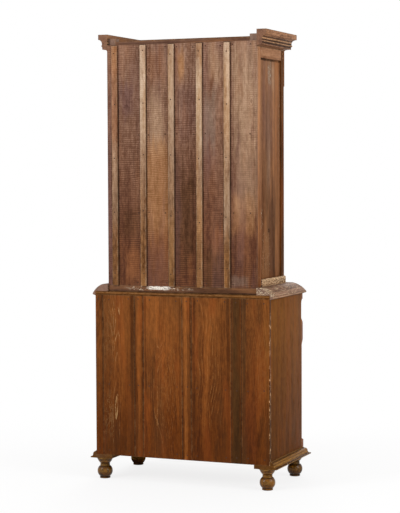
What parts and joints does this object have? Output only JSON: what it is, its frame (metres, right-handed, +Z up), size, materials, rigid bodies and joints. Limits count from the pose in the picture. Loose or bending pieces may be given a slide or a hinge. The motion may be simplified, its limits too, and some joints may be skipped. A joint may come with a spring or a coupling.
{
  "type": "kas cupboard",
  "caption": "Tall two-stage wooden cupboard with a moulded cornice, paired panelled doors above and below, inner shelves, locks with keys, and turned ball feet.",
  "frame": {"origin": "on the floor under the middle of the cupboard's bounding box", "axes": "+Z up, the doors face -Y, +X to the right of someone facing the doors' side from the front"},
  "size_m": [0.986, 0.51, 2.2],
  "materials": {
    "old_teak": "worn oiled teak",
    "sawn_board": "rough-sawn and weathered",
    "pale_batten": "dry pale planed strip",
    "varnished_teak": "old satin varnish",
    "moulding_teak": "worn moulding, pale at its edges",
    "turned_teak": "dark polish",
    "inside_wood": "bare planed wood",
    "iron": "old dark iron",
    "brass": "aged brass"
  },
  "bodies": {
    "case": {"foot_back_left": "turned_teak", "foot_back_right": "turned_teak", "foot_front_left": "turned_teak", "foot_front_right": "turned_teak", "base_moulding": "moulding_teak", "lower_bottom_board": "old_teak", "lower_top_board": "old_teak", "lower_side_left": "varnished_teak", "lower_side_right": "varnished_teak", "lower_shelf": "inside_wood", "lower_back_board_1": "varnished_teak", "lower_back_board_2": "varnished_teak", "lower_back_board_3": "varnished_teak", "lower_back_board_4": "varnished_teak", "lower_back_board_5": "varnished_teak", "lower_back_board_6": "varnished_teak", "lower_back_board_7": "varnished_teak", "lower_back_board_8": "varnished_teak", "lower_front_frame": "varnished_teak", "pilaster_left": "varnished_teak", "pilaster_right": "varnished_teak", "waist_moulding": "moulding_teak", "upper_bottom_board": "old_teak", "upper_top_board": "inside_wood", "upper_shelf_lower": "inside_wood", "upper_shelf_upper": "inside_wood", "upper_side_frame_left": "old_teak", "upper_side_frame_right": "old_teak", "upper_side_panel_left": "old_teak", "upper_side_panel_right": "old_teak", "upper_back_board_1": "sawn_board", "upper_back_board_2": "sawn_board", "upper_back_board_3": "sawn_board", "upper_back_board_4": "sawn_board", "upper_back_board_5": "sawn_board", "upper_back_batten_1": "pale_batten", "upper_back_batten_2": "pale_batten", "upper_back_batten_3": "pale_batten", "upper_back_batten_4": "pale_batten", "upper_back_batten_5": "pale_batten", "upper_back_rail": "old_teak", "upper_frieze": "old_teak", "upper_base_strip": "moulding_teak", "cornice": "moulding_teak"},
    "upper_door_left": {"upper_door_frame_left": "varnished_teak", "upper_door_panel_left": "varnished_teak", "upper_lock_keep": "iron"},
    "upper_door_right": {"upper_door_frame_right": "varnished_teak", "upper_door_panel_right": "varnished_teak", "upper_lock_case": "iron"},
    "upper_bolt": {"upper_lock_bolt": "brass"},
    "upper_key": {"upper_key": "iron"},
    "lower_door_left": {"lower_door_frame_left": "varnished_teak", "lower_door_panel_left": "varnished_teak", "lower_lock_keep": "iron"},
    "lower_door_right": {"lower_door_frame_right": "varnished_teak", "lower_door_panel_right": "varnished_teak", "lower_lock_case": "iron"},
    "lower_bolt": {"lower_lock_bolt": "brass"},
    "lower_key": {"lower_key": "iron"}
  },
  "joints": [
    {"name": "upper_door_left_swing", "type": "hinge", "parent": "case", "child": "upper_door_left", "pos_m": [-0.3385, -0.124, 1.477], "axis": [0, 0, -1], "range_deg": [0, 90]},
    {"name": "upper_door_right_swing", "type": "hinge", "parent": "case", "child": "upper_door_right", "pos_m": [0.3385, -0.124, 1.477], "axis": [0, 0, 1], "range_deg": [0, 90]},
    {"name": "lower_door_left_swing", "type": "hinge", "parent": "case", "child": "lower_door_left", "pos_m": [-0.3845, -0.19, 0.4675], "axis": [0, 0, -1], "range_deg": [0, 90]},
    {"name": "lower_door_right_swing", "type": "hinge", "parent": "case", "child": "lower_door_right", "pos_m": [0.3845, -0.19, 0.4675], "axis": [0, 0, 1], "range_deg": [0, 90]},
    {"name": "upper_key_turn", "type": "hinge", "parent": "upper_door_right", "child": "upper_key", "pos_m": [0.0305, -0.13, 1.43972], "axis": [0, 1, 0], "range_deg": [0, 200]},
    {"name": "upper_bolt_slide", "type": "slide", "parent": "upper_door_right", "child": "upper_bolt", "axis": [-1, 0, 0], "range_m": [0, 0.016]},
    {"name": "lower_key_turn", "type": "hinge", "parent": "lower_door_right", "child": "lower_key", "pos_m": [0.0305, -0.2, 0.50656], "axis": [0, 1, 0], "range_deg": [0, 200]},
    {"name": "lower_bolt_slide", "type": "slide", "parent": "lower_door_right", "child": "lower_bolt", "axis": [-1, 0, 0], "range_m": [0, 0.016]}
  ],
  "couplings": [
    {"joint": "upper_key_turn", "follows": "upper_bolt_slide", "rad_per_m": 196.3},
    {"joint": "lower_key_turn", "follows": "lower_bolt_slide", "rad_per_m": 196.3}
  ]
}
